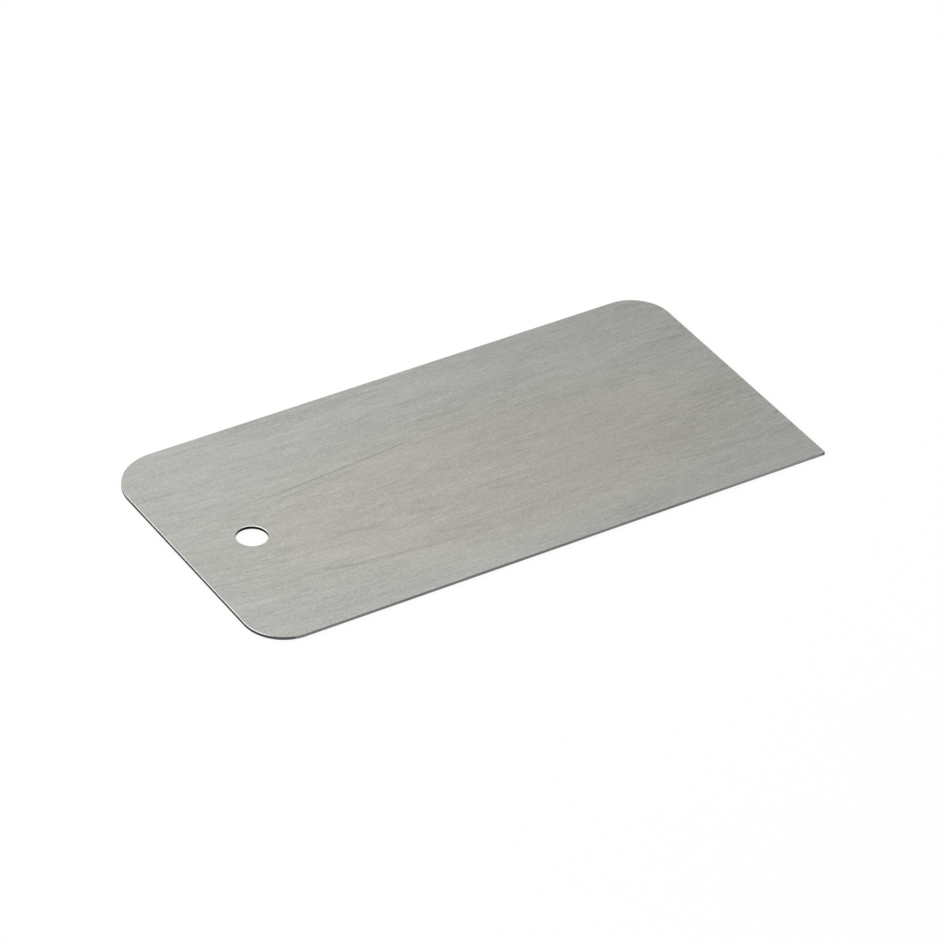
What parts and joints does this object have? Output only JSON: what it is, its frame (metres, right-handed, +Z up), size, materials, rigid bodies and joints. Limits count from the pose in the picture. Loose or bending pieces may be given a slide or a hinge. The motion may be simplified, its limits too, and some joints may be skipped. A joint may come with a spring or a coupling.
{
  "type": "card scraper",
  "caption": "Flat rectangular steel hand scraper with three rounded corners, one square corner, ground working edges and a hanging hole at one end.",
  "frame": {"origin": "middle of the underside's rectangular outline, where the blade rests", "axes": "+X along the length towards the end with the square corner, +Y across to the far long edge, +Z up through the sheet"},
  "size_m": [0.12, 0.061, 0.0007],
  "materials": {
    "steel": "fine satin grain along the blade's length"
  },
  "bodies": {
    "root": {"scraper_blade": "steel"}
  },
  "joints": []
}
